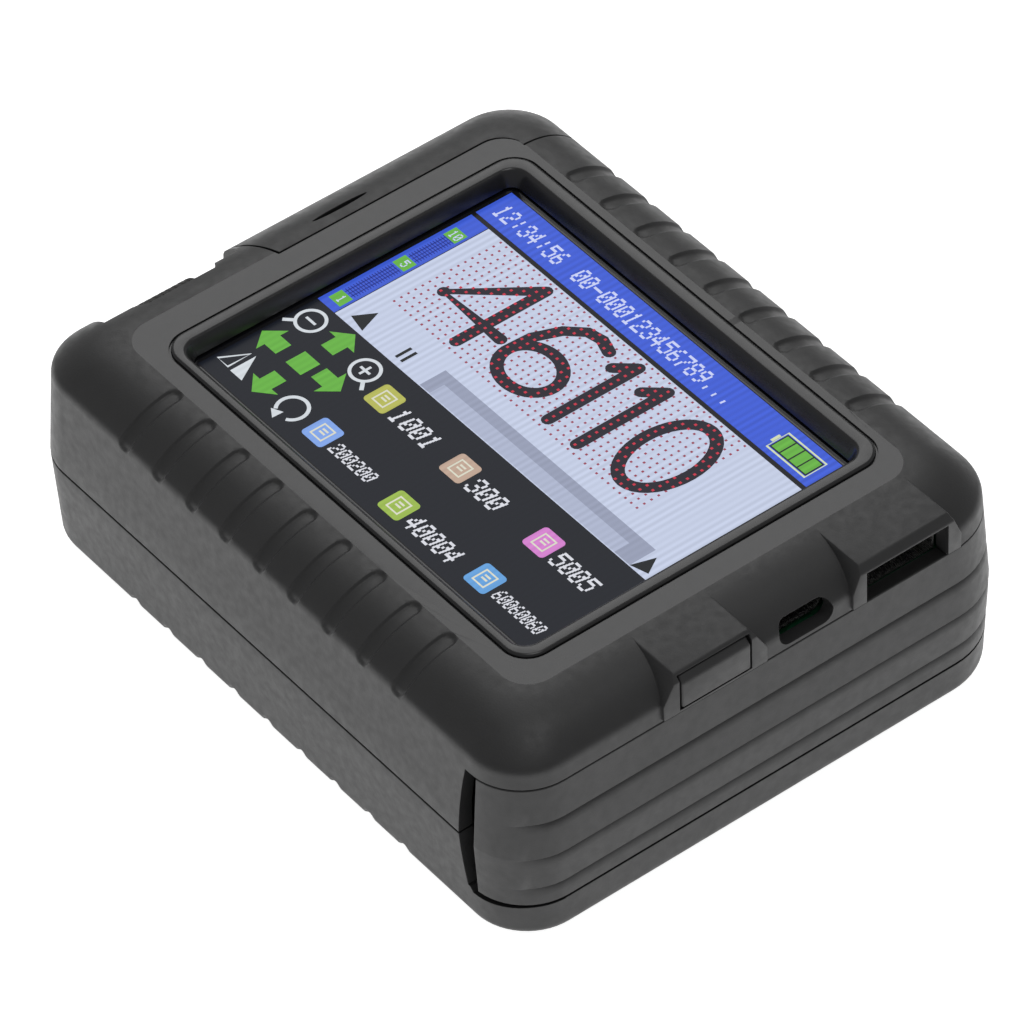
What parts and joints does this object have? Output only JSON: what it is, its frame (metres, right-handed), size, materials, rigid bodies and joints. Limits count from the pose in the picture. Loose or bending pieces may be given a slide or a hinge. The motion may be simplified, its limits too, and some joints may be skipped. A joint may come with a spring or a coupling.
{
  "type": "date code inkjet printer",
  "caption": "Palm-sized inkjet coder: two dark plastic shells with grip grooves, a colour touch screen on top, a hinged cartridge door with USB ports above it, and a print face with rollers.",
  "frame": {"origin": "bottom centre of the housing, on the surface it lies on", "axes": "+Z out of the screen, +X towards the ports and the cartridge door, +Y the side that the screen's title bar is at; the print face is at -X"},
  "size_m": [0.1062, 0.0848, 0.0368],
  "materials": {
    "shell_plastic": "fine grained",
    "black_plastic": "satin",
    "white_plastic": "satin",
    "screen_glass": "glossy",
    "connector_steel": "bright tinned",
    "fastener_steel": "plain",
    "magnet_nickel": "nickel plated",
    "roller_rubber": "matte",
    "circuit_board": "solder mask",
    "flex_film": "satin film",
    "nozzle_gold": "plated",
    "battery_wrap": "shrink film"
  },
  "bodies": {
    "root": {"battery_pack": "battery_wrap", "board_screw_1": "fastener_steel", "board_screw_2": "fastener_steel", "board_screw_3": "fastener_steel", "board_screw_4": "fastener_steel", "bottom_shell": "shell_plastic", "buzzer": "black_plastic", "cartridge_frame": "black_plastic", "catch_plate": "fastener_steel", "contact_block": "black_plastic", "contact_flex": "flex_film", "display_flex": "flex_film", "display_module": "black_plastic", "encoder_sensor": "circuit_board", "hinge_pin": "fastener_steel", "ink_cartridge": "black_plastic", "main_board": "circuit_board", "nozzle_plate": "nozzle_gold", "print_insert": "black_plastic", "shell_screw_1": "fastener_steel", "shell_screw_2": "fastener_steel", "shell_screw_3": "fastener_steel", "shell_screw_4": "fastener_steel", "switch_plunger": "white_plastic", "tact_switch": "black_plastic", "top_shell": "shell_plastic", "touch_panel": "screen_glass", "usb_a_shell": "connector_steel", "usb_a_tongue": "black_plastic", "usb_c_shell": "connector_steel", "usb_c_tongue": "black_plastic"},
    "door": {"cartridge_door": "shell_plastic", "door_magnet": "magnet_nickel"},
    "button": {"power_button": "shell_plastic"},
    "encoder": {"encoder_roller": "roller_rubber", "encoder_axle": "fastener_steel", "encoder_magnet": "magnet_nickel"},
    "idler": {"idler_roller": "roller_rubber", "idler_axle": "fastener_steel"},
    "cover": {"end_cover": "shell_plastic"}
  },
  "joints": [
    {"name": "door_hinge", "type": "hinge", "parent": "root", "child": "door", "pos_m": [0.04325, 0.04005, 0.0194], "axis": [0, 0, 1], "range_deg": [0, 95]},
    {"name": "power_button_press", "type": "slide", "parent": "root", "child": "button", "axis": [-1, 0, 0], "range_m": [0, 0.0008], "stiffness_N_per_m": 2000},
    {"name": "encoder_spin", "type": "hinge", "parent": "root", "child": "encoder", "pos_m": [-0.04955, -0.01995, 0.029], "axis": [0, 1, 0], "continuous": true},
    {"name": "idler_spin", "type": "hinge", "parent": "root", "child": "idler", "pos_m": [-0.04955, -0.01995, 0.0075], "axis": [0, 1, 0], "continuous": true},
    {"name": "end_cover_pull", "type": "slide", "parent": "root", "child": "cover", "axis": [-1, 0, 0], "range_m": [0, 0.02]}
  ]
}
